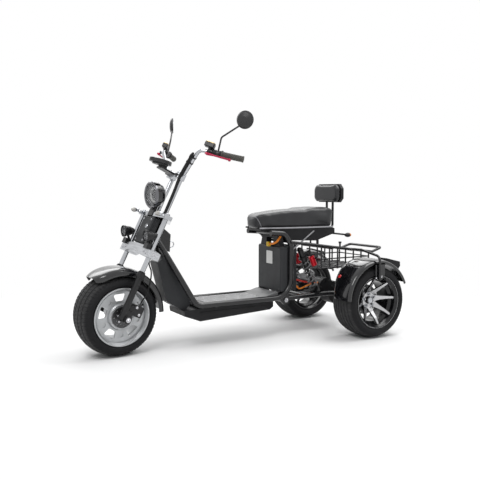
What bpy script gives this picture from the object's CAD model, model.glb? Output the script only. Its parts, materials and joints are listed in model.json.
import json
import math

import bmesh
import bpy
import numpy as np
from mathutils import Matrix, Vector


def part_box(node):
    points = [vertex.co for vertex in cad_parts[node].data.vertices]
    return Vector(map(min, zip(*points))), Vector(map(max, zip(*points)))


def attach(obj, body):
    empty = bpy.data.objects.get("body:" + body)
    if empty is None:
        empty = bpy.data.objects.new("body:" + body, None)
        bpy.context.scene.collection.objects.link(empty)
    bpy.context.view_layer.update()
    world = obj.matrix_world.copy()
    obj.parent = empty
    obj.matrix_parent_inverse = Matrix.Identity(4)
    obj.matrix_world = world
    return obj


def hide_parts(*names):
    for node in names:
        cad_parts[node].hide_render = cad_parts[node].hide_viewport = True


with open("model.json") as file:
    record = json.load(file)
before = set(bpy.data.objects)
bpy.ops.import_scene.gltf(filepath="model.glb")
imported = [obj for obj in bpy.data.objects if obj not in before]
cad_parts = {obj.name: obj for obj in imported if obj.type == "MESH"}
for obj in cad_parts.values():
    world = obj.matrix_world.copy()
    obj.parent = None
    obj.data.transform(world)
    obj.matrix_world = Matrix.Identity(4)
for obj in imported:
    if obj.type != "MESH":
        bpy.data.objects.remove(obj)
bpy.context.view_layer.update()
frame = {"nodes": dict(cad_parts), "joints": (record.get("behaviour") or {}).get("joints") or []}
NODES = frame["nodes"]
SCENE = bpy.context.scene
MM = 0.001


# Places: frames of the fork and the wheels, worked out from the joints
def joint(name):
    return next(j for j in frame["joints"] if j["name"] == name)


def basis(origin, y_axis, z_axis):
    """Frame at origin with the given Y, and Z as near to z_axis as Y allows."""
    y = Vector(y_axis).normalized()
    x = y.cross(Vector(z_axis)).normalized()
    matrix = Matrix((x, y, x.cross(y))).transposed().to_4x4()
    matrix.translation = Vector(origin)
    return matrix


def shift(x, y, z):
    """Move by millimetres."""
    return Matrix.Translation(Vector((x, y, z)) * MM)


def turn(degrees, axis):
    return Matrix.Rotation(math.radians(degrees), 4, axis)


STEER = joint("steering")
FRONT = joint("front_wheel_spin")
RAKE = math.degrees(math.atan2(-STEER["axis"][0], STEER["axis"][2]))
FORK = basis(STEER["pos_m"], FRONT["axis"], STEER["axis"])
FRONT_WHEEL = basis(FRONT["pos_m"], FRONT["axis"], STEER["axis"])
LEFT_WHEEL = Matrix.Translation(joint("rear_left_spin")["pos_m"])
RIGHT_WHEEL = Matrix.Translation(joint("rear_right_spin")["pos_m"]) @ Matrix.Scale(-1, 4, (0, 1, 0))
WHEELS = {"front": FRONT_WHEEL, "rear_left": LEFT_WHEEL, "rear_right": RIGHT_WHEEL}
BODIES = {"front": "front_wheel", "rear_left": "rear_left_wheel", "rear_right": "rear_right_wheel"}
MID_X = (FRONT_WHEEL.translation.x + LEFT_WHEEL.translation.x) / 2
MID = Matrix.Translation((MID_X, 0, 0))
MIRROR = Matrix.Scale(-1, 4, (0, 1, 0))
LEVEL = turn(RAKE, "Y")

# Sizes shared with the solids, in millimetres
TYRE_R, TYRE_HALF = 231.0, 104.0
SHOULDER_R, SHOULDER_Y = 218.0, 80.0
FLANGE_R, FLANGE_Y = 166.0, 90.0
BEAD_R, BEAD_Y = 152.1, 88.0
LEG_U, LEG_Y = 60.0, 140.0
CLAMP_TOP, SLIDER_TOP = 614.0, 262.0
LAMP_AT = FORK @ shift(130, 0, 701) @ LEVEL
SPOT_AT = FORK @ shift(114, 142, 466) @ LEVEL
DASH_AT = FORK @ shift(166, 0, 886) @ turn(12, "Y")
BATTERY_FRONT = -257.0
SEAT_REAR, SEAT_LOW = -678.0, 690.0
SEAT_HALF, SEAT_NOSE_HALF = 138.0, 92.0


# Camera and light
CAMERA_AT = (1.910, 3.3371, 0.9176)
CAMERA_YAW, CAMERA_PITCH = math.radians(29.864), math.radians(4.445)
SENSOR_WIDTH, FOCAL_LENGTH = 36.0, 46.17
STUDIO_LAMPS = (
    # name, place, target, size, watts
    ("key", (2.4, 1.6, 3.6), (0, 0, 0.4), (1.8, 1.8), 66),
    ("top", (-1.8, 0.5, 3.1), (-0.3, 0, 0.5), (2.4, 2.2), 62),
    ("rim", (-0.6, -2.8, 2.9), (-0.3, 0, 0.4), (4.2, 1.8), 58),
)
SKY = (
    # place on the way from straight down to straight up, colour
    (0.42, (0.22, 0.23, 0.24, 1)),
    (0.58, (0.34, 0.35, 0.36, 1)),
    (0.86, (0.80, 0.80, 0.80, 1)),
)
FLOOR_REACH, FADE_START, FADE_END = 30.0, 1.1, 2.6


def make_camera():
    level = math.cos(CAMERA_PITCH)
    ahead = Vector((-math.sin(CAMERA_YAW) * level, -math.cos(CAMERA_YAW) * level, -math.sin(CAMERA_PITCH)))
    data = bpy.data.cameras.new("camera")
    data.sensor_width, data.lens = SENSOR_WIDTH, FOCAL_LENGTH
    camera = bpy.data.objects.new("camera", data)
    camera.location = CAMERA_AT
    camera.rotation_euler = ahead.to_track_quat("-Z", "Y").to_euler()
    SCENE.collection.objects.link(camera)
    SCENE.camera = camera


def area_light(name, place, target, size, watts):
    data = bpy.data.lights.new(name, "AREA")
    data.shape, data.size, data.size_y, data.energy = "RECTANGLE", size[0], size[1], watts
    lamp = bpy.data.objects.new(name, data)
    lamp.location = place
    lamp.rotation_euler = (Vector(target) - Vector(place)).to_track_quat("-Z", "Y").to_euler()
    SCENE.collection.objects.link(lamp)


def new_node(tree, kind, inputs=None, **settings):
    """New shader node; each input is a value, or a socket to link."""
    made = tree.nodes.new("ShaderNode" + kind)
    for key, value in settings.items():
        setattr(made, key, value)
    for key, value in (inputs or {}).items():
        if isinstance(value, bpy.types.NodeSocket):
            tree.links.new(value, made.inputs[key])
        else:
            made.inputs[key].default_value = value
    return made


def seen_rays(tree):
    """1 for camera, glossy and transmission rays, which see the white background."""
    ray = new_node(tree, "LightPath").outputs
    seen = ray["Is Camera Ray"]
    for kind in ("Is Glossy Ray", "Is Transmission Ray"):
        seen = new_node(tree, "Math", {0: seen, 1: ray[kind]}, operation="MAXIMUM").outputs[0]
    return seen


def make_world():
    """Grey sky for the light, and white for the rays that see the background."""
    world = bpy.data.worlds.new("studio")
    SCENE.world = world
    world.use_nodes = True
    tree = world.node_tree
    tree.nodes.clear()
    place = new_node(tree, "TexCoord")
    split = new_node(tree, "SeparateXYZ", {0: place.outputs["Generated"]})
    height = new_node(tree, "MapRange", {"Value": split.outputs["Z"], "From Min": -1})
    ramp = new_node(tree, "ValToRGB", {0: height.outputs[0]})
    stops = ramp.color_ramp.elements
    stops.new(SKY[1][0])
    for stop, (at, color) in zip(stops, SKY):
        stop.position, stop.color = at, color
    sky = new_node(tree, "Background", {"Color": ramp.outputs[0]})
    white = new_node(tree, "Background", {"Color": (1, 1, 1, 1)})
    mix = new_node(tree, "MixShader", {0: seen_rays(tree), 1: sky.outputs[0], 2: white.outputs[0]})
    new_node(tree, "OutputWorld", {0: mix.outputs[0]})


def make_floor():
    """Pale floor that fades to the white background away from the object."""
    mesh = bpy.data.meshes.new("floor")
    corners = [(x * FLOOR_REACH, y * FLOOR_REACH, 0) for x, y in ((-1, -1), (1, -1), (1, 1), (-1, 1))]
    mesh.from_pydata(corners, [], [(0, 1, 2, 3)])
    floor = bpy.data.objects.new("floor", mesh)
    SCENE.collection.objects.link(floor)
    g = Graph("floor_paint")
    g.set(**{"Base Color": (0.86, 0.86, 0.86, 1), "Roughness": 0.9, "Specular IOR Level": 0.1})
    glow = g.node("Emission")
    away = g.ramp(g.distance((0, 0, 0), (1, 1, 0)), FADE_START, FADE_END)
    share = g.math("MULTIPLY", seen_rays(g.tree), away)
    mix = g.node("MixShader", {0: share, 1: g.bsdf.outputs[0], 2: glow.outputs[0]})
    g.link(mix.outputs[0], g.out.inputs[0])
    mesh.materials.append(g.mat)


# Materials: one graph per finish, all of it worked out from object space
class Graph:
    def __init__(self, name):
        self.mat = bpy.data.materials.new(name)
        self.mat.use_nodes = True
        self.tree = self.mat.node_tree
        self.bsdf = self.tree.nodes["Principled BSDF"]
        self.out = self.tree.nodes["Material Output"]
        self.place = self.node("TexCoord")

    def node(self, kind, inputs=None, **settings):
        return new_node(self.tree, kind, inputs, **settings)

    def link(self, source, target):
        self.tree.links.new(source, target)

    def set(self, **values):
        for key, value in values.items():
            self.bsdf.inputs[key].default_value = value

    def feed(self, key, socket):
        self.link(socket, self.bsdf.inputs[key])

    def math(self, kind, a, b=0.0):
        return self.node("Math", {0: a, 1: b}, operation=kind).outputs[0]

    def ramp(self, value, low, high, to_low=0.0, to_high=1.0):
        inputs = {"Value": value, "From Min": low, "From Max": high, "To Min": to_low, "To Max": to_high}
        return self.node("MapRange", inputs).outputs[0]

    def coords(self, stretch=(1, 1, 1)):
        return self.node("Mapping", {"Vector": self.place.outputs["Object"], "Scale": stretch}).outputs[0]

    def noise(self, scale, detail=4.0, stretch=(1, 1, 1)):
        inputs = {"Scale": scale, "Detail": detail, "Vector": self.coords(stretch)}
        return self.node("TexNoise", inputs).outputs["Fac"]

    def lines(self, value, scale):
        """Noise along one value."""
        return self.node("TexNoise", {"W": value, "Scale": scale}, noise_dimensions="1D").outputs["Fac"]

    def cells(self, scale):
        return self.node("TexVoronoi", {"Scale": scale, "Vector": self.coords()}).outputs["Distance"]

    def vector(self, kind, a, b=(0, 0, 0)):
        return self.node("VectorMath", {0: a, 1: b}, operation=kind).outputs

    def distance(self, centre, keep):
        """Distance from centre, counting the axes that keep marks."""
        away = self.vector("SUBTRACT", self.place.outputs["Object"], centre)[0]
        return self.vector("LENGTH", self.vector("MULTIPLY", away, keep)[0])["Value"]

    def reach(self, source, direction, origin=(0, 0, 0)):
        """How far a place or normal lies along a direction."""
        along = self.vector("DOT_PRODUCT", self.place.outputs[source], direction)["Value"]
        return self.math("SUBTRACT", along, Vector(direction).dot(Vector(origin)))

    def radius(self, wheel):
        """Distance from a wheel's axle."""
        side = self.reach("Object", wheel.to_3x3() @ Vector((0, 1, 0)), wheel.translation)
        total = self.distance(wheel.translation, (1, 1, 1))
        squares = [self.math("POWER", value, 2.0) for value in (total, side)]
        return self.math("SQRT", self.math("SUBTRACT", *squares))

    def blend(self, factor, a, b):
        """Colour a turning to b; inputs 6 and 7 are the mix node's two colours."""
        return self.node("Mix", {0: factor, 6: a, 7: b}, data_type="RGBA").outputs[2]

    def bump(self, height, strength, distance=0.001, normal=None):
        made = self.node("Bump", {"Strength": strength, "Distance": distance, "Height": height})
        if normal is not None:
            self.link(normal, made.inputs["Normal"])
        return made.outputs[0]


CLOUDS = 9.0


def shade(color, factor):
    return tuple(min(1.0, c * factor) for c in color) + (1,)


def finish(name, color, rough, metal, vary, rough_vary, grain, depth, gloss=0.5, coat=(0.0, 0.03)):
    """A surface with clouded colour and gloss and a fine grain; coat is its weight and roughness."""
    g = Graph(name)
    tint = g.blend(g.ramp(g.noise(CLOUDS, 6.0), 0.3, 0.7), shade(color, 1 - vary), shade(color, 1 + vary))
    speck = g.ramp(g.noise(grain * 0.25, 2.0), 0.62, 0.72, 0.0, 0.25)
    g.feed("Base Color", g.blend(speck, tint, shade(color, 1 + 3 * vary)))
    low, high = max(0.02, rough - rough_vary), rough + rough_vary
    g.feed("Roughness", g.ramp(g.noise(CLOUDS * 3, 5.0), 0.25, 0.75, low, high))
    g.feed("Normal", g.bump(g.noise(grain, 2.0), depth, 0.0004))
    g.set(Metallic=metal, **{"Specular IOR Level": gloss, "Coat Weight": coat[0], "Coat Roughness": coat[1]})
    return g.mat


def brushed(name, color, rough, stretch, depth=0.15):
    """Metal with fine lines along one direction."""
    g = Graph(name)
    lines = g.noise(120.0, 3.0, stretch)
    tint = g.blend(g.ramp(lines, 0.3, 0.7), shade(color, 0.82), shade(color, 1.12))
    g.feed("Base Color", g.blend(g.ramp(g.noise(14.0, 5.0), 0.4, 0.75, 0, 0.14), tint, shade(color, 0.7)))
    g.feed("Roughness", g.ramp(g.noise(30.0, 4.0), 0.3, 0.7, rough - 0.06, rough + 0.08))
    g.feed("Normal", g.bump(lines, depth, 0.0003))
    g.set(Metallic=1.0)
    return g.mat


def turned_metal(name, color, rough, wheel):
    """Metal with lines round a wheel's axle."""
    g = Graph(name)
    lines = g.lines(g.radius(wheel), 1400.0)
    g.feed("Base Color", g.blend(lines, shade(color, 0.75), shade(color, 1.15)))
    g.feed("Roughness", g.ramp(g.noise(40.0), 0.3, 0.7, rough - 0.05, rough + 0.08))
    g.feed("Normal", g.bump(lines, 0.12, 0.0003))
    g.set(Metallic=1.0)
    return g.mat


def rubber_tyre(name, wheel):
    """Dark walls and a dustier tread."""
    g = Graph(name)
    cloud = g.noise(18.0, 7.0)
    tread = g.ramp(g.radius(wheel), (SHOULDER_R - 7) * MM, SHOULDER_R * MM)
    dust = g.math("MULTIPLY", g.ramp(g.noise(60.0, 6.0), 0.48, 0.8, 0.0, 0.6), tread)
    walls = g.blend(g.ramp(cloud, 0.3, 0.7), (0.005, 0.005, 0.006, 1), (0.010, 0.010, 0.011, 1))
    crown = g.blend(g.ramp(cloud, 0.3, 0.7), (0.021, 0.021, 0.022, 1), (0.034, 0.034, 0.035, 1))
    g.feed("Base Color", g.blend(dust, g.blend(tread, walls, crown), (0.064, 0.063, 0.060, 1)))
    g.feed("Roughness", g.ramp(cloud, 0.25, 0.75, 0.52, 0.76))
    fine = g.bump(g.noise(1500.0, 2.0), 0.25, 0.0003)
    g.feed("Normal", g.bump(g.noise(220.0, 3.0), 0.12, 0.0006, fine))
    g.set(**{"Specular IOR Level": 0.2})
    return g.mat


SPOKE_REACH, LIP_REACH = (0.1430, 0.1420), (0.1636, 0.1640)
DISH_SLOPE, DISH_LEVEL = 0.771, (-0.0379, -0.0369)


def rear_rim(name, wheel):
    """Gloss black wheel with machined spoke faces and lip edge."""
    g = Graph(name)
    out = wheel.to_3x3() @ Vector((0, 1, 0))
    outward = g.ramp(g.reach("Normal", out), 0.5, 0.6)
    radius = g.distance(wheel.translation, (1, 0, 1))
    dish = g.math("MULTIPLY", radius, DISH_SLOPE)
    level = g.math("SUBTRACT", g.reach("Object", out, wheel.translation), dish)
    spokes = g.math("MULTIPLY", g.ramp(radius, *SPOKE_REACH), g.ramp(level, *DISH_LEVEL))
    cut = g.math("MULTIPLY", outward, g.math("MAXIMUM", spokes, g.ramp(radius, *LIP_REACH)))
    lines = g.lines(radius, 1300.0)
    machined = g.blend(lines, (0.36, 0.36, 0.37, 1), (0.60, 0.60, 0.61, 1))
    paint = g.blend(g.ramp(g.noise(30.0, 5.0), 0.4, 0.7), (0.004, 0.004, 0.005, 1), (0.009, 0.009, 0.010, 1))
    g.feed("Base Color", g.blend(cut, paint, machined))
    g.feed("Metallic", g.ramp(cut, 0, 1, 0.0, 1.0))
    wear = g.ramp(g.noise(45.0), 0.3, 0.7, -0.03, 0.06)
    g.feed("Roughness", g.math("ADD", g.ramp(cut, 0, 1, 0.16, 0.24), wear))
    g.feed("Normal", g.bump(g.noise(900.0, 2.0), 0.06, 0.0003))
    g.set(**{"Specular IOR Level": 0.3, "Coat Weight": 0.2, "Coat Roughness": 0.08})
    return g.mat


def leather():
    g = Graph("leatherette")
    grain = g.cells(420.0)
    fold = g.noise(16.0, 4.0)
    tint = g.blend(g.ramp(fold, 0.3, 0.7), (0.014, 0.0145, 0.016, 1), (0.019, 0.0195, 0.0215, 1))
    pores = g.ramp(grain, 0.0, 0.35)
    g.feed("Base Color", g.blend(pores, (0.010, 0.010, 0.0115, 1), tint))
    g.feed("Roughness", g.ramp(fold, 0.25, 0.75, 0.30, 0.38))
    coarse = g.bump(fold, 0.06, 0.002)
    g.feed("Normal", g.bump(grain, 0.12, 0.0005, coarse))
    g.set(**{"Sheen Weight": 0.1, "Sheen Roughness": 0.4, "Specular IOR Level": 0.4})
    return g.mat


RIB_TOP, STRIP_REAR = (0.2645, 0.2652), (-0.112, -0.108)


def floor_mat():
    """Grey rubber with a stipple, and bright strips on the raised ribs."""
    g = Graph("floor_mat")
    ahead = g.ramp(g.reach("Object", (1, 0, 0)), *STRIP_REAR)
    strip = g.math("MULTIPLY", g.ramp(g.reach("Object", (0, 0, 1)), *RIB_TOP), ahead)
    stipple = g.cells(260.0)
    grey = g.blend(g.ramp(g.noise(16.0, 6.0), 0.3, 0.7), (0.10, 0.101, 0.103, 1), (0.17, 0.171, 0.174, 1))
    bright = g.blend(g.noise(60.0, 3.0, (1, 30, 30)), (0.55, 0.55, 0.56, 1), (0.80, 0.80, 0.81, 1))
    g.feed("Base Color", g.blend(strip, grey, bright))
    g.feed("Metallic", g.ramp(strip, 0, 1, 0.0, 0.7))
    g.feed("Roughness", g.ramp(strip, 0, 1, 0.42, 0.24))
    g.feed("Normal", g.bump(stipple, 0.4, 0.0008))
    return g.mat


def lens(name, color, rough, solid=1.0, depth=0.18):
    """Moulded lens with a fine rib pattern."""
    g = Graph(name)
    ribs = g.cells(170.0)
    g.feed("Base Color", g.blend(g.ramp(ribs, 0.0, 0.6), shade(color, 0.88), shade(color, 1.06)))
    g.feed("Roughness", g.ramp(g.noise(30.0), 0.3, 0.7, rough, rough + 0.04))
    g.feed("Normal", g.bump(ribs, depth, 0.0008))
    g.set(**{"Alpha": solid, "Coat Weight": 0.6, "Coat Roughness": 0.04, "IOR": 1.46})
    return g.mat


# Tones: colour, roughness, metal
BLACK_TONE = ((0.009, 0.009, 0.010), 0.34, 0.0)
AMBER_TONE = ((0.62, 0.20, 0.012), 0.14, 0.0)
CHROME_TONE = ((0.50, 0.51, 0.53), 0.10, 1.0)
PALE_TONE = ((0.42, 0.41, 0.39), 0.14, 0.0)
GREY_TONE = ((0.30, 0.30, 0.31), 0.32, 0.9)
RED_TONE = ((0.55, 0.007, 0.018), 0.26, 0.35)


def two_tone(name, direction, origin, behind, ahead):
    """One finish behind a plane and another ahead of it."""
    g = Graph(name)
    side = g.ramp(g.reach("Object", direction, origin), -0.0004, 0.0004)
    cloud = g.ramp(g.noise(24.0, 5.0), 0.3, 0.7)
    tones = [g.blend(cloud, shade(color, 0.8), shade(color, 1.2)) for color, _, _ in (behind, ahead)]
    g.feed("Base Color", g.blend(side, *tones))
    gloss = g.ramp(side, 0, 1, behind[1], ahead[1])
    g.feed("Roughness", g.math("ADD", gloss, g.ramp(cloud, 0, 1, -0.03, 0.05)))
    g.feed("Metallic", g.ramp(side, 0, 1, behind[2], ahead[2]))
    g.feed("Normal", g.bump(g.noise(800.0, 2.0), 0.08, 0.0003))
    g.set(**{"Specular IOR Level": 0.35})
    return g.mat


# Finishes: name, colour, roughness, metal, variation of colour and roughness, grain and its depth
MATT = 0.22
GREY_CAST = finish("cast_silver", (0.44, 0.45, 0.46), 0.40, 0.6, 0.09, 0.08, 700.0, 0.12)
STEEL = finish("bright_steel", (0.50, 0.50, 0.52), 0.26, 1.0, 0.10, 0.08, 600.0, 0.05)
CHROME = finish("chrome", (0.46, 0.47, 0.49), 0.08, 1.0, 0.08, 0.04, 300.0, 0.02)
REFLECTOR = finish("satin_reflector", (0.17, 0.17, 0.18), 0.42, 0.3, 0.05, 0.05, 400.0, 0.02)
SMOKED = finish("smoked_chrome", (0.17, 0.17, 0.18), 0.14, 1.0, 0.12, 0.05, 400.0, 0.03)
CLAMP = brushed("satin_aluminium", (0.52, 0.53, 0.55), 0.38, (1, 0.06, 1))
SATIN = finish("satin_black", (0.009, 0.009, 0.010), 0.34, 0.0, 0.25, 0.09, 900.0, 0.14, gloss=0.35)
POWDER = finish("powder_coat", (0.008, 0.008, 0.009), 0.20, 0.0, 0.22, 0.06, 1100.0, 0.12, gloss=0.5)
GLOSS = finish("gloss_black", (0.004, 0.004, 0.005), 0.16, 0.0, 0.3, 0.04, 500.0, 0.015, gloss=0.35,
               coat=(0.7, 0.06))
MOULDED = finish("moulded_black", (0.019, 0.019, 0.020), 0.34, 0.0, 0.12, 0.06, 900.0, 0.1, gloss=0.4)
CHARCOAL = finish("charcoal_moulding", (0.025, 0.026, 0.028), 0.46, 0.0, 0.12, 0.07, 1300.0, 0.22, gloss=MATT)
GRAINED = finish("grained_plastic", (0.011, 0.011, 0.012), 0.50, 0.0, 0.2, 0.08, 800.0, 0.35, gloss=MATT)
RUBBER = finish("black_rubber", (0.012, 0.012, 0.012), 0.60, 0.0, 0.2, 0.08, 900.0, 0.3, gloss=MATT)
GRIP_RUBBER = finish("grip_rubber", (0.072, 0.070, 0.063), 0.58, 0.0, 0.15, 0.08, 900.0, 0.3, gloss=MATT)
CRIMSON = finish("crimson_anodised", (0.36, 0.004, 0.042), 0.34, 0.25, 0.12, 0.06, 800.0, 0.08, gloss=0.35)
GOLD = finish("gold_anodised", (0.55, 0.40, 0.20), 0.32, 0.8, 0.1, 0.06, 700.0, 0.06)
DARK_STEEL = finish("dark_steel", (0.07, 0.07, 0.073), 0.38, 0.8, 0.15, 0.08, 700.0, 0.12)
COIL = finish("coil_steel", (0.14, 0.14, 0.145), 0.34, 0.8, 0.15, 0.08, 700.0, 0.1)
MIRROR_GLASS = finish("mirror_glass", (0.72, 0.74, 0.76), 0.03, 1.0, 0.02, 0.01, 200.0, 0.005)
ORANGE = finish("orange_sleeve", (0.78, 0.22, 0.015), 0.38, 0.0, 0.08, 0.05, 900.0, 0.15, gloss=0.3)
RED_WIRE = finish("red_sleeve", (0.62, 0.03, 0.02), 0.38, 0.0, 0.08, 0.05, 900.0, 0.15, gloss=0.3)
YELLOW = finish("yellow_moulding", (0.66, 0.42, 0.02), 0.40, 0.0, 0.08, 0.05, 900.0, 0.15, gloss=0.3)
LABEL = finish("blank_label", (0.55, 0.55, 0.54), 0.46, 0.0, 0.05, 0.05, 400.0, 0.05)
SCREEN = finish("dash_screen", (0.010, 0.012, 0.014), 0.06, 0.0, 0.2, 0.02, 300.0, 0.01, coat=(1.0, 0.02))
PIPING = finish("pale_piping", (0.16, 0.16, 0.17), 0.48, 0.0, 0.1, 0.05, 700.0, 0.2)
TRIM = brushed("trim_strip", (0.36, 0.36, 0.38), 0.34, (0.05, 1, 1), 0.08)
TYRES = {wheel: rubber_tyre(wheel + "_rubber", place) for wheel, place in WHEELS.items()}
LEATHER = leather()
FLOOR = floor_mat()
CLEAR = lens("clear_lens", (0.34, 0.345, 0.355), 0.05, 0.17, 0.02)
RED_LENS = lens("red_lens", (0.50, 0.012, 0.014), 0.08)
AMBER_BODY = two_tone("rear_signal", (-1, 0, 0), (MID_X - 0.806, 0, 0), BLACK_TONE, AMBER_TONE)
SIGNAL = two_tone("front_signal", tuple(FORK.to_3x3() @ LEVEL.to_3x3() @ Vector((1, 0, 0))),
                  tuple(FORK @ Vector((0.124, 0, 0.603))), CHROME_TONE, PALE_TONE)
POSTS = two_tone("seat_struts", (0, 0, 1), (0, 0, 0.67), GREY_TONE, BLACK_TONE)
SHOCK_AXIS = Vector((122, 0, 266)).normalized()
RESERVOIR = two_tone("reservoir", tuple(SHOCK_AXIS),
                     tuple(MID @ (Vector((-559, 0, 282)) * MM) + SHOCK_AXIS * 0.2125), RED_TONE, BLACK_TONE)

CAD_FINISH = {
    POWDER: "head_tube frame_rails cross_tubes swing_arm rack basket fender_stays",
    CHARCOAL: "leg_shroud battery_case fork_cover",
    GRAINED: "floor_box seat_pan backrest_shell battery_handle tail_lamps",
    MOULDED: "mirrors dash",
    SATIN: "drive_unit shock_bodies fork_sliders lamp_brackets front_caliper spot_lamps lever_perches",
    CHROME: "fork_stanchions handlebar risers upper_clamp",
    SMOKED: "headlamp_bezel",
    COIL: "shock_springs",
    GLOSS: "front_fender rear_fenders headlamp_bowl",
    CRIMSON: "brake_levers",
    RESERVOIR: "shock_reservoirs",
    POSTS: "seat_supports",
    CLAMP: "lower_clamp",
    GREY_CAST: "front_rim",
    DARK_STEEL: "front_brake_disc",
    STEEL: "front_axle",
    MIRROR_GLASS: "mirror_glasses",
    CLEAR: "headlamp_lens spot_lenses",
    SIGNAL: "front_signals",
    AMBER_BODY: "rear_signals",
    RED_LENS: "tail_lenses",
    YELLOW: "battery_plug",
    FLOOR: "floor_panel",
    RUBBER: "control_cables power_cables",
    GRIP_RUBBER: "grips",
    LEATHER: "seat_cushion backrest_pad",
}


def dress(node, material):
    slots = NODES[node].data.materials
    slots.clear()
    slots.append(material)


for material, names in CAD_FINISH.items():
    for node in names.split():
        dress(node, material)
for wheel, rubber in TYRES.items():
    dress(wheel + "_tyre", rubber)
for wheel in ("rear_left", "rear_right"):
    dress(wheel + "_rim", rear_rim(wheel + "_rim_paint", WHEELS[wheel]))
    dress(wheel + "_hub", turned_metal(wheel + "_disc_steel", (0.16, 0.16, 0.165), 0.32, WHEELS[wheel]))


# Mesh helpers
def piece(name, verts, faces, body, material, place, sharp):
    mesh = bpy.data.meshes.new(name)
    mesh.from_pydata([tuple(v) for v in verts], [], faces)
    mesh.transform(place)
    tidy = bmesh.new()
    tidy.from_mesh(mesh)
    bmesh.ops.recalc_face_normals(tidy, faces=tidy.faces)
    tidy.to_mesh(mesh)
    tidy.free()
    mesh.shade_smooth()
    mesh.set_sharp_from_angle(angle=math.radians(sharp))
    mesh.materials.append(material)
    made = bpy.data.objects.new(name, mesh)
    SCENE.collection.objects.link(made)
    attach(made, body)
    return made


def band(low, high):
    """Quads between two closed rings of vertex numbers."""
    n = len(low)
    return [(low[i], low[(i + 1) % n], high[(i + 1) % n], high[i]) for i in range(n)]


class Heap:
    """Small shapes gathered into one mesh, in metres."""

    def __init__(self):
        self.verts = []
        self.faces = []

    def add(self, verts, faces, place):
        start = len(self.verts)
        self.verts += [place @ Vector(v) for v in verts]
        self.faces += [[i + start for i in face] for face in faces]
        return self

    def stack(self, rings, place):
        """Closed rings of points in millimetres, joined in turn and capped at both ends."""
        n = len(rings[0])
        rows = [range(k * n, (k + 1) * n) for k in range(len(rings))]
        faces = [face for low, high in zip(rows, rows[1:]) for face in band(low, high)]
        return self.add([Vector(v) * MM for ring in rings for v in ring], faces + [rows[0], rows[-1]], place)

    def lathe(self, profile, place, count):
        """Turn (radius, height) millimetres about Z; a zero radius closes an end."""
        angles = [2 * math.pi * k / count for k in range(count)]
        rings, verts, faces = [], [], []
        for radius, height in profile:
            around = angles if radius else angles[:1]
            rings.append(range(len(verts), len(verts) + len(around)))
            verts += [(radius * MM * math.cos(a), radius * MM * math.sin(a), height * MM) for a in around]
        for low, high in zip(rings, rings[1:]):
            if len(low) == 1:
                faces += [(low[0], high[(k + 1) % count], high[k]) for k in range(count)]
            elif len(high) == 1:
                faces += [(low[k], low[(k + 1) % count], high[0]) for k in range(count)]
            else:
                faces += band(low, high)
        return self.add(verts, faces, place)

    def bolt(self, place, radius, height):
        """Washer and hexagon head with a cut top edge and a sunk middle."""
        washer, wide = height * 0.22, radius * 1.45
        self.lathe([(0, 0), (wide, 0), (wide, washer * 0.7), (radius * 1.35, washer), (0, washer)], place, 20)
        sunk = height * 0.7
        head = [(0, washer), (radius, washer), (radius, height * 0.82), (radius * 0.84, height)]
        return self.lathe(head + [(radius * 0.5, height), (radius * 0.45, sunk), (0, sunk)], place, 6)

    def dome(self, place, radius, height):
        """Round-headed cap."""
        steps = [(radius * math.cos(a), height * math.sin(a)) for a in np.linspace(0, math.pi / 2, 7)[:-1]]
        return self.lathe([(0, 0), (radius, 0)] + steps[1:] + [(0, height)], place, 20)

    def plate(self, place, long, wide, high, corner):
        """Flat plate with rounded corners and a cut top edge, its foot on the place."""
        outline = []
        for sx, sy, start in ((1, 1, 0), (-1, 1, 90), (-1, -1, 180), (1, -1, 270)):
            x, y = sx * (long / 2 - corner), sy * (wide / 2 - corner)
            for a in np.radians(np.linspace(start, start + 90, 6)):
                outline.append((x + corner * math.cos(a), y + corner * math.sin(a)))
        cut = high * 0.3
        layers = ((1.0, 0.0), (1.0, high - cut), (1 - 2 * cut / wide, high))
        return self.stack([[(x * k, y * k, z) for x, y in outline] for k, z in layers], place)

    def strap(self, place, apart, first, second, wide):
        """Band round two tubes along Z, the second one beside the first along X."""
        lean = math.acos((first - second) / apart)
        verts = []
        for gap in (0.2, 1.8):
            near, far = first + gap, second + gap
            behind = np.linspace(lean, 2 * math.pi - lean, 20)
            ring = [(near * math.cos(a), near * math.sin(a)) for a in behind]
            ring += [(apart + far * math.cos(a), far * math.sin(a)) for a in np.linspace(-lean, lean, 14)]
            verts += [Vector((x, y, z)) * MM for z in (-wide / 2, wide / 2) for x, y in ring]
        n = len(ring)
        rows = [range(k * n, (k + 1) * n) for k in range(4)]
        faces = [face for a, b in ((0, 1), (1, 3), (3, 2), (2, 0)) for face in band(rows[a], rows[b])]
        return self.add(verts, faces, place)

    def make(self, name, body, material, slot, sharp=38.0):
        return piece(name, self.verts, self.faces, body, material, Matrix(), sharp)


def facing(place, point, axis):
    """Frame at a point of a place, in millimetres, with its Z along an axis there."""
    quat = Vector(axis).to_track_quat("Z", "Y")
    return place @ shift(*point) @ quat.to_matrix().to_4x4()


def sides(place, point, axis):
    """Frames at a point on the left of a place and at its mirror image on the right."""
    return facing(place, point, axis), facing(place @ MIRROR, point, axis)


# Tyres: turned carcass with grooves and slanted sipes
REAR_TREAD = ((-62, -38, -13, 13, 38, 62), 72, 3.0, 2.2)
TREADS = {
    # wheel: middles of the grooves in millimetres, blocks round the tyre, slant in degrees, sipe depth
    "front": ((-58, -22, 22, 58), 66, 5.0, 3.2),
    "rear_left": REAR_TREAD,
    "rear_right": REAR_TREAD,
}
GROOVE_HALF, GROOVE_EDGE, GROOVE_DEPTH, STEPS_PER_BLOCK = 3.2, 1.4, 5.0, 5
WALL_INSET, WALL_RIB, SIPED_FROM = 0.6, 1.2, 0.72


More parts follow.
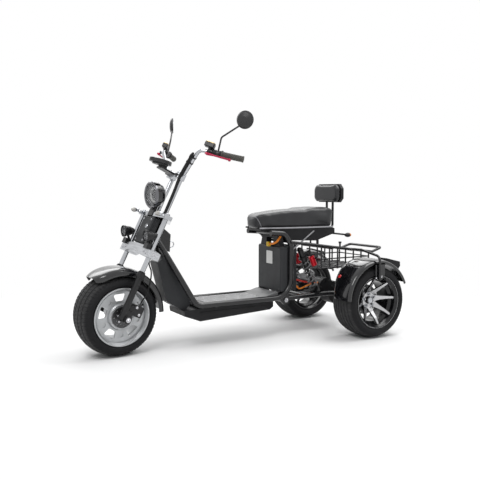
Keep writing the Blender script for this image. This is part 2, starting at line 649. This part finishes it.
def wall_profile():
    """(radius, y, share of the sipe) up one bulged side wall, with a raised rib near the rim."""
    wall = []
    bulge_r, bulge = (SHOULDER_R + FLANGE_R) / 2, TYRE_HALF - (FLANGE_Y + SHOULDER_Y) / 2
    for t in np.linspace(0, 1, 13):
        radius = FLANGE_R + (SHOULDER_R - FLANGE_R) * t
        lean = FLANGE_Y + (SHOULDER_Y - FLANGE_Y) * t
        bow = 1 - ((radius - bulge_r) / (SHOULDER_R - bulge_r)) ** 2
        rib = WALL_RIB if 0.14 < t < 0.32 else 0.0
        wall.append((radius, lean + bulge * bow - WALL_INSET + rib, 0.0 if t < SIPED_FROM else 0.9))
    return wall


def tyre_profile(grooves):
    """(radius, y, share of the sipe) from one bead over the tread to the other."""
    marks = set(np.linspace(-SHOULDER_Y, SHOULDER_Y, 33))
    for middle in grooves:
        for side in (-1, 1):
            marks |= {middle + side * GROOVE_HALF, middle + side * (GROOVE_HALF + GROOVE_EDGE)}
    crown = []
    for y in sorted(marks):
        near = min(abs(y - middle) for middle in grooves)
        deep = GROOVE_DEPTH if near <= GROOVE_HALF + 0.01 else 0.0
        share = 0.0 if near < GROOVE_HALF + GROOVE_EDGE + 0.1 else 1.0
        crown.append((TYRE_R - (TYRE_R - SHOULDER_R) * (y / SHOULDER_Y) ** 2 - deep, y, share))
    wall = wall_profile()[:-1]
    left = [(radius, -y, share) for radius, y, share in wall]
    return [(BEAD_R, -BEAD_Y, 0.0)] + left + crown + wall[::-1] + [(BEAD_R, BEAD_Y, 0.0)]


def make_tyre(wheel):
    grooves, blocks, slant, deep = TREADS[wheel]
    profile = tyre_profile(grooves)
    count, size = blocks * STEPS_PER_BLOCK, len(profile)
    verts = []
    for k in range(count):
        notch = deep if k % STEPS_PER_BLOCK == 0 else 0.0
        for radius, y, share in profile:
            angle = 2 * math.pi * k / count + math.radians(slant) * min(1.0, abs(y) / SHOULDER_Y)
            r = (radius - notch * share) * MM
            verts.append((r * math.cos(angle), y * MM, r * math.sin(angle)))
    rings = [range(k * size, (k + 1) * size) for k in range(count)]
    faces = [face for k in range(count) for face in band(rings[k], rings[(k + 1) % count])]
    name = wheel + "_tyre"
    made = piece(name + "_tread", verts, faces, BODIES[wheel], TYRES[wheel], WHEELS[wheel], 28.0)
    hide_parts(name)


# Fenders: smooth arched shells with rounded sections, in millimetres and degrees about the wheel
ARCH_ROWS, ARCH_COLUMNS, ARCH_WALL, ARCH_ROUND = 81, 41, 3.6, 0.55
FRONT_R, FRONT_HALF, FRONT_SKIRT, FRONT_ENDS = 272, 96, 40, (29, 153)
NOSE_R, NOSE_ANGLE, NOSE_SHIFT = 97.05, 45, 2.955
REAR_R, REAR_HALF, REAR_SKIRT, REAR_ENDS = 252, 104, 25, (2, 158)
REAR_MIDDLE = (-3, 0, 16)
EAR_OUTLINE = ((-34, 246), (42, 246), (42, 175), (30, 150), (16, 142), (-8, 142), (-22, 150), (-34, 175))
EAR_STEP = ((-34, 100), (42, 100), (42, 113), (-34, 113))


def front_shape(angle):
    """Left, right and skirt shares: a round nose over the first degrees."""
    along = FRONT_R * math.sin(math.radians(angle - NOSE_ANGLE)) + NOSE_SHIFT
    share = 1.0 if along > 0 else math.sqrt(max(0.0, NOSE_R ** 2 - along ** 2)) / NOSE_R
    return share, share, min(1.0, 1.3 * share)


def rear_shape(angle):
    """Left, right and skirt shares: the side toward the frame closes in below the crown at the front."""
    low = REAR_R * math.sin(math.radians(angle)) + REAR_MIDDLE[2]
    inner = 30 + 48 * (low + 10) / 170
    share = min(1.0, inner / REAR_HALF) if angle < 90 else 1.0
    return 1.0, share, 1.0


def arch_ring(angle, radius, half, skirt, shape, inset):
    """Points across a shell about Y at one angle."""
    left, right, deep = shape(angle)
    ahead, up = math.cos(math.radians(angle)), math.sin(math.radians(angle))
    ring = []
    for p in np.linspace(0, math.pi, ARCH_COLUMNS):
        c, s = math.cos(p), math.sin(p)
        y = math.copysign(abs(c) ** ARCH_ROUND, c) * (half * (left if c > 0 else right) - inset)
        r = radius - inset - skirt * deep * (1 - abs(s) ** ARCH_ROUND)
        ring.append(Vector((r * ahead, y, r * up)) * MM)
    return ring


def shell_faces(rows, columns):
    """Two like grids, one inside the other, joined along their edges."""
    size = rows * columns
    faces = []
    for i in range(rows - 1):
        for j in range(columns - 1):
            a = i * columns + j
            outer = (a, a + 1, a + columns + 1, a + columns)
            faces += [outer, tuple(v + size for v in reversed(outer))]
    edge = list(range(0, size, columns)) + list(range(size - columns + 1, size))
    edge += list(range(size - columns - 1, 0, -columns)) + list(range(columns - 2, 0, -1))
    return faces + band(edge, [v + size for v in edge])


def arch(name, place, radius, half, skirt, ends, shape, body, node):
    """Fender shell about a wheel's axle; shape gives the shares of its widths and skirt at an angle."""
    angles = np.linspace(*ends, ARCH_ROWS)
    verts = []
    for inset in (0.0, ARCH_WALL):
        for angle in angles:
            verts += arch_ring(angle, radius, half, skirt, shape, inset)
    made = piece(name, verts, shell_faces(ARCH_ROWS, ARCH_COLUMNS), body, GLOSS, place, 50.0)
    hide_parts(node)


def make_fenders():
    arch("front_fender_shell", FRONT_WHEEL, FRONT_R, FRONT_HALF, FRONT_SKIRT, FRONT_ENDS, front_shape,
         "fork", "front_fender")
    for side, place in (("left", LEFT_WHEEL), ("right", RIGHT_WHEEL)):
        arch(f"rear_fender_{side}_shell", place @ shift(*REAR_MIDDLE), REAR_R, REAR_HALF, REAR_SKIRT,
             REAR_ENDS, rear_shape, "frame", "rear_fenders")
        ear = Heap().stack([[(x, y, z) for x, z in EAR_OUTLINE] for y in (109, 113)], place)
        ear.stack([[(x, y, z) for x, y in EAR_STEP] for z in (238, 247)], place)
        ear.make(f"rear_fender_{side}_ear", "frame", GLOSS, "gloss_black", 30.0)


# Seat and backrest: the solid's skin, smoothed and swelled as cloth, in metres
PRESSURE, SWELL_STEPS, CALM_ROUNDS, BOX_SLACK = 4.0, 20, 30, 0.004
PIPING_AT, PIPING_NORMAL, PIPING_FOOT = (-0.137, 0, 0.735), (1, 0, -0.375), 0.010
SEAM_INSET, SEAM_CORNER = 0.024, 0.032
# Trim strip in millimetres: its line along the cushion's foot (x, y), and its section (outward, up)
TRIM_LINE = ((-132, SEAT_NOSE_HALF - 6), (-250, 110), (-430, SEAT_HALF), (-560, SEAT_HALF),
             (SEAT_REAR + 14, SEAT_HALF))
TRIM_SECTION = ((-1.0, 0.0), (2.6, 0.8), (3.2, 5.0), (2.6, 9.2), (-1.0, 10.0))


def coords(mesh):
    flat = np.empty(len(mesh.vertices) * 3)
    mesh.vertices.foreach_get("co", flat)
    return flat.reshape(-1, 3)


def evaluated(obj):
    graph = bpy.context.evaluated_depsgraph_get()
    return bpy.data.meshes.new_from_object(obj.evaluated_get(graph))


def smooth(made, rounds):
    """Smooth a piece's mesh for good, with any modifiers that it already has."""
    soft = made.modifiers.new("soft", "SMOOTH")
    soft.factor, soft.iterations = 0.5, rounds
    made.data = evaluated(made)
    made.modifiers.clear()


def swell(made, cap):
    """Blow the skin up as cloth, with no point moved by more than the cap."""
    rest = coords(made.data)
    cloth = made.modifiers.new("cloth", "CLOTH")
    cloth.settings.use_pressure = True
    cloth.settings.uniform_pressure_force = PRESSURE
    cloth.settings.effector_weights.gravity = 0
    cloth.settings.quality = 4
    cloth.collision_settings.use_collision = False
    cloth.point_cache.frame_start, cloth.point_cache.frame_end = 1, SWELL_STEPS
    for step in range(1, SWELL_STEPS + 1):
        SCENE.frame_set(step)
    change = coords(evaluated(made)) - rest
    made.modifiers.clear()
    SCENE.frame_set(1)
    length = np.linalg.norm(change, axis=1, keepdims=True)
    swelled = rest + change * np.minimum(1.0, cap / np.maximum(length, 1e-9))
    made.data.vertices.foreach_set("co", swelled.ravel())


def pad(node, name, voxel, shrink, rounds, cap):
    """Leather cover over a soft solid: its skin, drawn in, swelled, and held to the solid's box."""
    made = bpy.data.objects.new(name, NODES[node].data.copy())
    SCENE.collection.objects.link(made)
    remesh = made.modifiers.new("skin", "REMESH")
    remesh.mode, remesh.voxel_size = "VOXEL", voxel
    smooth(made, rounds)
    normals = np.array([v.normal for v in made.data.vertices])
    made.data.vertices.foreach_set("co", (coords(made.data) - normals * shrink).ravel())
    swell(made, cap)
    smooth(made, CALM_ROUNDS)
    low, high = (np.array(corner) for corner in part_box(node))
    inside = np.clip(coords(made.data), low - (BOX_SLACK, BOX_SLACK, 0.0), high + BOX_SLACK)
    made.data.vertices.foreach_set("co", inside.ravel())
    made.data.update()
    made.data.shade_smooth()
    fine = made.modifiers.new("fine", "SUBSURF")
    fine.levels = fine.render_levels = 1
    made.data.materials.clear()
    made.data.materials.append(LEATHER)
    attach(made, "frame")
    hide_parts(node)
    return made


def cut_points(mesh, point, normal):
    """Points where a plane cuts a mesh."""
    cut = bmesh.new()
    cut.from_mesh(mesh)
    parts = cut.verts[:] + cut.edges[:] + cut.faces[:]
    made = bmesh.ops.bisect_plane(cut, geom=parts, plane_co=point, plane_no=normal)
    points = np.array([v.co for v in made["geom_cut"] if isinstance(v, bmesh.types.BMVert)])
    cut.free()
    return points


def tube(name, points, radius, body, material, slot, closed=False, curved=False):
    """Round bead along points, straight between them or as a smooth curve."""
    data = bpy.data.curves.new(name, "CURVE")
    data.dimensions, data.bevel_depth, data.bevel_resolution = "3D", radius * MM, 5 if curved else 4
    line = data.splines.new("NURBS" if curved else "POLY")
    line.points.add(len(points) - 1)
    for target, point in zip(line.points, points):
        target.co = (*point, 1)
    line.use_cyclic_u = closed
    if curved:
        line.order_u, line.use_endpoint_u, line.resolution_u = 3, True, 16
    data.use_fill_caps = not closed
    data.materials.append(material)
    made = bpy.data.objects.new(name, data)
    SCENE.collection.objects.link(made)
    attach(made, body)
    return made


def make_seat():
    """Cushion with piping over its nose."""
    made = pad("seat_cushion", "seat_cushion_cover", 0.006, 0.002, 20, 0.007)
    foot = SEAT_LOW * MM
    ring = cut_points(made.data, MID @ Vector(PIPING_AT), PIPING_NORMAL)
    ring = ring[ring[:, 2] > foot + PIPING_FOOT]
    order = np.argsort(np.arctan2(ring[:, 2] - foot, ring[:, 1]))
    tube("seat_nose_piping", ring[order][::3], 2.6, "frame", PIPING, "leather")


def make_backrest():
    """Pad with a seam round its face."""
    pad("backrest_pad", "backrest_pad_cover", 0.005, 0.001, 10, 0.008)
    low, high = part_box("backrest_pad")
    front, half = high.x - 0.001, (high.y - low.y) / 2
    far = SEAM_INSET + SEAM_CORNER
    seam = []
    for k, (side, z, up) in enumerate(((1, low.z, -1), (1, high.z, 1), (-1, high.z, 1), (-1, low.z, -1))):
        upright = (front, side * (half - SEAM_INSET), z - up * far)
        level = (front, side * (half - far), z - up * SEAM_INSET)
        seam += [upright, level] if k % 2 else [level, upright]
    tube("backrest_seam", seam, 1.8, "frame", LEATHER, "leather", True)


def make_trim():
    """Bright strip along the foot of the cushion on both sides."""
    for name, side in (("left", 1), ("right", -1)):
        rings = [[(x, side * (y + out), SEAT_LOW - 2 + up) for out, up in TRIM_SECTION] for x, y in TRIM_LINE]
        Heap().stack(rings, MID).make("seat_trim_" + name, "frame", TRIM, "chrome", 60.0)


# Cords: the routes of the solids, as smooth curves
CORDS = (
    # name, frame, radius, length, body, material, slot, points in millimetres
    ("brake_hose", FORK, 4.0, 0.286, "fork", RUBBER, "rubber",
     ((34, 112, 355.7), (34, 112, 330), (4, 150, 290), (-26, 142, 160), (-26, 112, 125), (-26, 112, 94.3))),
    ("bar_loom", FORK, 9.0, 0.398, "fork", RUBBER, "rubber",
     ((46, 74, 614.3), (46, 74, 770), (65.6, 89.2, 868.8), (94.85, 180.7, 976.8))),
    ("battery_lead", MID, 7.0, 0.153, "frame", ORANGE, "cable",
     ((-287, 112.4, 668), (-260, 118, 630), (-241, 92, 592), (-244, 27.2, 588))),
    ("motor_cable", MID, 6.0, 0.227, "frame", RED_WIRE, "cable",
     ((-400.3, 20, 345), (-450, 20, 345), (-520, 18, 322), (-622, 14.6, 303.3))),
    ("motor_lead", MID, 5.5, 0.244, "frame", ORANGE, "cable",
     ((-400.3, 44, 312), (-440, 46, 312), (-462, 48, 276), (-530, 46, 306), (-632, 36.7, 311.6))),
)
CORD_NODES = {"fork": "control_cables", "frame": "power_cables"}


def make_cords():
    for name, place, radius, length, body, material, slot, points in CORDS:
        route = [place @ (Vector(point) * MM) for point in points]
        made = tube(name, route, radius, body, material, slot, curved=True)
        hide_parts(CORD_NODES[body])
        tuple(route[0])


# Bars: ribbed grips, lids, switches and straps, in the fork's millimetres
GRIP_OUT, BAR_KNEE = Vector((-92, 391, 1050)), Vector((84, 214, 1016))
GRIP_AXIS = (GRIP_OUT - BAR_KNEE).normalized()
GRIP_START = GRIP_OUT - GRIP_AXIS * 123
GRIP_RIBS, RIB_PITCH, RIB_R, RIB_FLOOR_R = 14, 7.8, 17.4, 16.2
TANK_AT = GRIP_START - GRIP_AXIS * 72 + Vector((14, 4, 34))
BAR_R, LOOM_R = 11, 9
LOOM_FOOT, LOOM_HEAD = Vector((65.6, 89.2, 868.8)), Vector((94.85, 180.7, 976.8))
LOOM_BESIDE = Vector((20.6, -2.8, -3.2))
SWITCH_RINGS = (
    # (radius, distance from the grip) of each housing on the bar
    ((11.2, 0.5), (18, 0.5), (19, 2), (19, 12), (18, 13.6), (11.2, 13.6)),
    ((11.2, 30.4), (16, 30.4), (17.5, 32), (17.5, 50), (16, 52.4), (11.2, 52.4)),
)
LOOM_BOOT = ((9.2, -20), (10.6, -19), (10.6, -2), (9.6, 3), (6.5, 14), (5, 17), (0, 17))


def basis_along(place, point, along, toward):
    """Frame at a point of a place with its Z along a run and its X toward a neighbour."""
    z = along.normalized()
    y = z.cross(toward).normalized()
    matrix = Matrix((y.cross(z), y, z)).transposed().to_4x4()
    return place @ shift(*point) @ matrix


def make_grips():
    profile = [(11.2, 0), (22, 0), (23, 1.5), (23, 5), (21, 7), (17.5, 9)]
    for k in range(GRIP_RIBS):
        z = 12 + RIB_PITCH * k
        profile += [(RIB_R, z), (RIB_FLOOR_R, z + 1.3), (RIB_FLOOR_R, z + 2.8), (RIB_R, z + 4.1)]
    profile += [(RIB_R, 123), (18.6, 124), (18.6, 127), (16, 128), (0, 128)]
    for side, place in zip(("left", "right"), sides(FORK, GRIP_START, GRIP_AXIS)):
        made = Heap().lathe(profile, place, 32).make("grip_" + side, "fork", GRIP_RUBBER, "rubber", 30.0)
        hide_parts("grips")


def make_lids():
    """Lids of the brake reservoirs with their screws, and the bolts of the bar clamps."""
    lids, screws = Heap(), Heap()
    for place in (FORK, FORK @ MIRROR):
        top = place @ shift(*TANK_AT) @ turn(130, "Z") @ shift(0, 0, 14.1)
        lids.plate(top, 54, 30, 3.5, 5)
        for x in (-20, 20):
            screws.dome(top @ shift(x, 0, 3.3), 3.2, 1.6)
    lids.make("tank_lids", "fork", GOLD, "clamp")
    for x in (22, 56):
        for place in sides(FORK, (x, 50, 892), (0, 0, 1)):
            screws.bolt(place, 4.6, 5)
    screws.make("bar_bolts", "fork", STEEL, "steel")


def make_switches():
    housings = Heap()
    for place in sides(FORK, GRIP_START, -GRIP_AXIS):
        for profile in SWITCH_RINGS:
            housings.lathe(profile, place, 32)
    for distance in (37, 46):
        for place in sides(FORK, GRIP_START - GRIP_AXIS * distance + Vector((0, 0, 17)), (0, 0, 1)):
            housings.dome(place, 4, 4)
    housings.make("switch_housings", "fork", GRAINED, "black_plastic")


def make_straps():
    """Two straps that hold the loom to the bar, and the boot on its end."""
    straps = Heap()
    run = LOOM_HEAD - LOOM_FOOT
    for share in (0.66, 0.93):
        place = basis_along(FORK, LOOM_FOOT + run * share - LOOM_BESIDE, run, LOOM_BESIDE)
        straps.strap(place, LOOM_BESIDE.length, BAR_R, LOOM_R, 7)
    straps.lathe(LOOM_BOOT, basis_along(FORK, LOOM_HEAD, run, LOOM_BESIDE), 28)
    straps.make("loom_straps", "fork", RUBBER, "rubber")


# Fork fittings: seals, caps and bolts, in the fork's millimetres
DUST_SEAL = ((14.2, 0), (21, 0), (21, 3), (19.5, 4), (19.5, 7), (17, 10), (14.2, 11), (14.2, 0))
LEG_CAP = ((0, 0), (13.4, 0), (13.4, 2), (11.5, 4.5), (5, 5), (4.6, 3.2), (0, 3.2))
STEM_NUT = ((0, 0), (21, 0), (21, 5), (18, 8), (9, 8), (8, 5), (0, 5))
KEY_LOCK = ((0, 0), (12, 0), (12, 3), (10, 5), (6.5, 5), (6, 1.5), (0, 1.5))
FORK_BOLTS = (
    # place on the left, axis, radius
    ((94, 150, 374), (1, 0, 0), 5.5),
    ((94, 118, 380), (1, 0, 0), 5.5),
    ((54, 172, 376), (0, 1, 0), 6.0),
    ((92, 44, 440), (1, 0, 0), 4.0),
    ((92, 44, 568), (1, 0, 0), 4.0),
    ((33, 173, 0), (0, 1, 0), 9.5),
    ((60, 118, CLAMP_TOP), (0, 0, 1), 4.0),
)
CALIPER_BOLTS = ((-42, 122, 46), (-12, 122, 80))


def make_fork_parts():
    bolts, seals, caps = Heap(), Heap(), Heap()
    for place in sides(FORK, (LEG_U, LEG_Y, SLIDER_TOP), (0, 0, 1)):
        seals.lathe(DUST_SEAL, place, 32)
    seals.make("dust_seals", "fork", RUBBER, "rubber")
    for place in sides(FORK, (LEG_U, LEG_Y, CLAMP_TOP + 8), (0, 0, 1)):
        caps.lathe(LEG_CAP, place, 32)
    caps.lathe(STEM_NUT, FORK @ shift(0, 0, CLAMP_TOP), 36)
    caps.lathe(KEY_LOCK, facing(FORK, (92, 24, 524), (1, 0, 0)), 28)
    caps.make("fork_caps", "fork", CHROME, "chrome")
    for point, axis, size in FORK_BOLTS:
        for place in sides(FORK, point, axis):
            bolts.bolt(place, size, size * 0.9)
    for point in CALIPER_BOLTS:
        bolts.bolt(facing(FORK, point, (0, 1, 0)), 5.5, 5)
    bolts.make("fork_bolts", "fork", STEEL, "steel")


# Lamps and dash: turned profiles (radius, distance ahead of the lamp's place)
BOWL_SKIN = ((62, -2), (58, -15), (54, -26), (44, -39), (33, -49), (14, -57.5), (0, -59))
PROJECTOR = ((0, -58.5), (21, -57), (21, -50), (18, -45), (10, -41), (0, -40))
RING_CARRIER = ((45, -18), (56, -18), (57.5, -14), (46, -14), (45, -18))
LIGHT_RING = ((35, -17), (45, -17), (46, -13), (43, -9), (38, -9), (34, -13), (35, -17))
SPOT_SKIN = ((25, 9), (20, -4), (13, -15.6), (0, -19.4))
SPOT_BULB = ((0, -19), (6, -18), (6, -8), (4, -5), (0, -4))
DASH_FACE = ((0, 0), (49, 0), (49, 1.2), (44, 2.4), (20, 3.2), (0, 3.4))
DASH_RIM = ((50.5, 0), (55, 0), (54.5, 1.4), (52.5, 2), (50.8, 1.4), (50.5, 0))
DASH_OVAL = Matrix.Diagonal((1.21, 0.93, 1, 1))


def make_lamps():
    glow, shells, eye = Heap(), Heap(), Heap()
    lamp = facing(LAMP_AT, (0, 0, 0), (1, 0, 0))
    shells.lathe(BOWL_SKIN, lamp, 48)
    eye.lathe(PROJECTOR, lamp, 36)
    eye.lathe(RING_CARRIER, lamp, 48)
    eye.make("lamp_projector", "fork", SCREEN, "lens", 50.0)
    glow.lathe(LIGHT_RING, lamp, 48)
    for at in (SPOT_AT, FORK @ MIRROR @ FORK.inverted() @ SPOT_AT):
        spot = facing(at, (0, 0, 0), (1, 0, 0))
        shells.lathe(SPOT_SKIN, spot, 32)
        glow.lathe(SPOT_BULB, spot, 20)
    shells.make("lamp_reflectors", "fork", REFLECTOR, "chrome", 60.0)
    glow.make("lamp_bulbs", "fork", LABEL, "lens", 60.0)
    face = Heap().lathe(DASH_FACE, DASH_AT @ shift(0, 0, 14.1) @ DASH_OVAL, 56)
    face.make("dash_screen", "fork", SCREEN, "lens", 50.0)
    rim = Heap().lathe(DASH_RIM, DASH_AT @ shift(0, 0, 20) @ DASH_OVAL, 56)
    rim.make("dash_rim", "fork", SMOKED, "chrome", 50.0)


# Wheel fittings: nuts, caps, bolts and valves, in millimetres about the axle
VALVE_R = 146.2
HUB_CAP = ((0, 0), (20.5, 0), (20.5, 3), (18, 6), (10, 8.5), (0, 9.5))


def ring_of(place, count, radius, y, first=0.0):
    """Frames that face along Y at even steps round an axle."""
    for k in range(count):
        a = 2 * math.pi * (k + first) / count
        yield facing(place, (radius * math.cos(a), y, radius * math.sin(a)), (0, 1, 0))


def make_valve(name, wheel, angle, y, lean, neck, tip):
    """Valve stem in the rim's well, pointing inward and to the side."""
    c, s = math.cos(angle), math.sin(angle)
    place = facing(WHEELS[wheel], (VALVE_R * c, y, VALVE_R * s), (-c, lean, -s))
    profile = [(0, -1), (5, -1), (4.6, 4), (3, 7), (3, neck), (3.8, neck + 1), (3.8, tip)]
    stem = Heap().lathe(profile + [(2.4, tip + 1.5), (0, tip + 1.5)], place, 16)
    stem.make(name, BODIES[wheel], RUBBER, "rubber")


def make_wheel_fittings():
    for wheel in ("rear_left", "rear_right"):
        nuts = Heap()
        for seat in ring_of(WHEELS[wheel], 5, 40, 5, 0.2):
            nuts.bolt(seat, 8.5, 11)
            nuts.dome(seat @ shift(0, 0, 9), 7.2, 9)
        nuts.lathe(HUB_CAP, facing(WHEELS[wheel], (0, 22.6, 0), (0, 1, 0)), 36)
        nuts.make(wheel + "_nuts", BODIES[wheel], CHROME, "chrome")
        make_valve(wheel + "_valve", wheel, 0.62, 72, 0.8, 16, 24)
    bolts = Heap()
    for seat in ring_of(FRONT_WHEEL, 5, 30, 97):
        bolts.bolt(seat, 4.2, 3.6)
    for seat in ring_of(FRONT_WHEEL, 10, 66, 88, 0.5):
        bolts.dome(seat, 3.6, 2.6)
    bolts.make("front_disc_bolts", "front_wheel", STEEL, "steel")
    make_valve("front_valve", "front", 2.3, 74, 0.5, 14, 21)


# Frame fittings: pivot nuts, screws, label, hook and reflectors, in millimetres
PIVOT_AT, DRIVE_AT = (-306, 130.3, 234), (-672, 0, 286)
STAY_BOLTS = ((-8, 113, 162), (36, 113, 156))
FRAME_SCREWS = (
    # place on the left, axis, radius
    ((BATTERY_FRONT, 116, 306), (1, 0, 0), 4.0),
    ((BATTERY_FRONT, 116, 558), (1, 0, 0), 4.0),
    ((-756.3, 42, 888), (-1, 0, 0), 6.0),
    ((-756.3, 42, 934), (-1, 0, 0), 6.0),
    ((214, 104, 262), (0, 0, 1), 5.0),
    ((60, 104, 262), (0, 0, 1), 5.0),
    ((-112, 104, 262), (0, 0, 1), 5.0),
)
BAG_HOOK = ((456, 627), (434, 629), (417, 625), (411, 612), (416, 598), (432, 593), (448, 595))
REFLECTOR_ANGLE, REFLECTOR_Y = math.radians(35), -34
REFLECTOR_LENS = ((0, -2), (12, -2), (12, 2), (10, 4), (0, 5))


def make_frame_bolts():
    bright, dark = Heap(), Heap()
    for place in sides(MID, PIVOT_AT, (0, 1, 0)):
        bright.bolt(place, 10, 7)
        bright.dome(place @ shift(0, 0, 6), 8.5, 8)
    for wheel in (LEFT_WHEEL, RIGHT_WHEEL):
        for point in STAY_BOLTS:
            bright.bolt(facing(wheel, point, (0, 1, 0)), 4.6, 4)
    bright.make("frame_nuts", "frame", STEEL, "steel")
    for point, axis, size in FRAME_SCREWS:
        for place in sides(MID, point, axis):
            dark.dome(place, size, size * 0.5)
    for side in (MID, MID @ MIRROR):
        for place in ring_of(side @ shift(*DRIVE_AT), 6, 46, 66):
            dark.bolt(place, 4.5, 4.5)
    dark.make("frame_screws", "frame", DARK_STEEL, "black_metal")


def make_frame_trim():
    """Blank battery label, bag hook and the reflectors on the rear fenders."""
    label = Heap().plate(facing(MID, (BATTERY_FRONT + 0.1, 4, 501), (1, 0, 0)), 70, 82, 0.9, 4)
    label.make("battery_label", "frame", LABEL, "clamp")
    hook = [MID @ (Vector((x, 0, z)) * MM) for x, z in BAG_HOOK]
    tube("bag_hook", hook, 3.4, "frame", CHROME, "chrome")
    out = Vector((math.cos(REFLECTOR_ANGLE), 0, math.sin(REFLECTOR_ANGLE)))
    point = Vector(REAR_MIDDLE) + out * (REAR_R + 0.5) + Vector((0, REFLECTOR_Y, 0))
    lenses = Heap()
    for wheel in (LEFT_WHEEL, RIGHT_WHEEL):
        lenses.lathe(REFLECTOR_LENS, facing(wheel, point, out), 24)
    lenses.make("fender_reflectors", "frame", RED_LENS, "red_lamp")


SCENE.view_settings.view_transform = "Standard"
make_camera()
make_world()
for studio_lamp in STUDIO_LAMPS:
    area_light(*studio_lamp)
make_floor()
make_cords()
for wheel in WHEELS:
    make_tyre(wheel)
make_fenders()
make_seat()
make_backrest()
make_trim()
make_grips()
make_lids()
make_switches()
make_straps()
make_fork_parts()
make_lamps()
make_wheel_fittings()
make_frame_bolts()
make_frame_trim()
